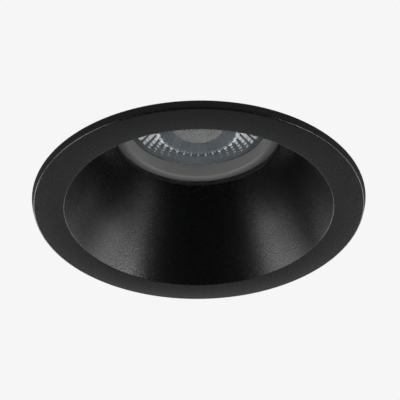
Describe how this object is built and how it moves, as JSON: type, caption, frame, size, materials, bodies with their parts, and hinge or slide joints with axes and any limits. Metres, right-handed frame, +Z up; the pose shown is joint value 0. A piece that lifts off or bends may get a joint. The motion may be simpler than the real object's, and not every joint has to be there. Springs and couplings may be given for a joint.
{
  "type": "recessed soffit downlight",
  "caption": "Round black recessed downlight with a deep anti-glare cone, a twist-off trim, sprung clips, a twist-lock spot lamp and a hinged terminal box.",
  "frame": {"origin": "centre of the cut-out on the soffit's underside, where the mounting ring's flange meets it", "axes": "+Z up into the soffit along the light's axis, +X through the right-hand clip, +Y towards the lid's finger tab"},
  "size_m": [0.1204, 0.0928, 0.1107],
  "materials": {
    "black_powder_coat": "fine textured satin powder coat",
    "closed_cell_foam": "closed-cell foam",
    "black_silicone": "matte silicone",
    "die_cast_alloy": "as cast",
    "zinc_plated_steel": "zinc plated",
    "spring_steel": "nickel plated",
    "screw_steel": "zinc plated",
    "vinyl_sleeve": "soft vinyl",
    "lamp_rim_plastic": "frosted",
    "lens_plastic": "clear, ribbed",
    "led_board": "white solder mask with a yellow phosphor",
    "lamp_body_plastic": "white painted, finned",
    "circuit_board": "green board",
    "lamp_cap_plastic": "white",
    "pin_metal": "nickel plated",
    "glazed_ceramic": "steatite ceramic",
    "brass": "bright",
    "brown_insulation": "silicone sleeved",
    "blue_insulation": "silicone sleeved",
    "green_insulation": "green and yellow",
    "black_plastic": "moulded",
    "terminal_plastic": "moulded polyamide",
    "grey_plastic": "moulded"
  },
  "bodies": {
    "housing": {"mounting_ring": "die_cast_alloy", "lamp_cage": "zinc_plated_steel", "cage_screws": "screw_steel", "clip_bracket_left": "zinc_plated_steel", "clip_bracket_right": "zinc_plated_steel", "bracket_rivets_left": "screw_steel", "bracket_rivets_right": "screw_steel", "clip_pivot_left": "screw_steel", "clip_pivot_right": "screw_steel", "torsion_spring_left": "spring_steel", "torsion_spring_right": "spring_steel", "lampholder_body": "glazed_ceramic", "lampholder_contacts": "brass", "lampholder_screws": "screw_steel", "lampholder_bridge": "zinc_plated_steel", "bridge_rivets": "screw_steel", "lead_grommet": "black_silicone", "live_lead": "brown_insulation", "neutral_lead": "blue_insulation", "earth_lead": "green_insulation", "earth_tag": "brass", "earth_screw": "brass", "terminal_box": "black_plastic", "entry_plate": "black_plastic", "box_screws": "screw_steel", "terminal_block": "terminal_plastic", "terminal_screws": "brass", "cable_clamp": "grey_plastic", "clamp_screws": "screw_steel", "cable_grommet": "black_silicone"},
    "trim": {"trim_ring": "black_powder_coat", "soffit_gasket": "closed_cell_foam", "lamp_seal": "black_silicone"},
    "clip_left": {"clip_arm_left": "spring_steel", "arm_sleeve_left": "vinyl_sleeve"},
    "clip_right": {"clip_arm_right": "spring_steel", "arm_sleeve_right": "vinyl_sleeve"},
    "lamp": {"lamp_bezel": "lamp_rim_plastic", "lamp_lens": "lens_plastic", "led_module": "led_board", "lamp_heatsink": "lamp_body_plastic", "driver_board": "circuit_board", "lamp_cap": "lamp_cap_plastic", "lamp_pins": "pin_metal"},
    "lid": {"box_lid": "black_plastic"}
  },
  "joints": [
    {"name": "trim_twist", "type": "hinge", "parent": "housing", "child": "trim", "pos_m": [0, 0, 0], "axis": [0, 0, -1], "range_deg": [0, 18]},
    {"name": "lamp_twist", "type": "hinge", "parent": "housing", "child": "lamp", "pos_m": [0, 0, 0.026], "axis": [0, 0, -1], "range_deg": [0, 30]},
    {"name": "clip_left_hinge", "type": "hinge", "parent": "housing", "child": "clip_left", "pos_m": [-0.0346, 0, 0.0239], "axis": [0, 1, 0], "range_deg": [0, 125], "stiffness_Nm_per_rad": 0.06, "springref_deg": -68.75, "deforming": ["torsion_spring_left"]},
    {"name": "clip_right_hinge", "type": "hinge", "parent": "housing", "child": "clip_right", "pos_m": [0.0346, 0, 0.0239], "axis": [0, -1, 0], "range_deg": [0, 125], "stiffness_Nm_per_rad": 0.06, "springref_deg": -68.75, "deforming": ["torsion_spring_right"]},
    {"name": "lid_hinge", "type": "hinge", "parent": "housing", "child": "lid", "pos_m": [0, -0.0192, 0.1056], "axis": [1, 0, 0], "range_deg": [0, 170]}
  ]
}
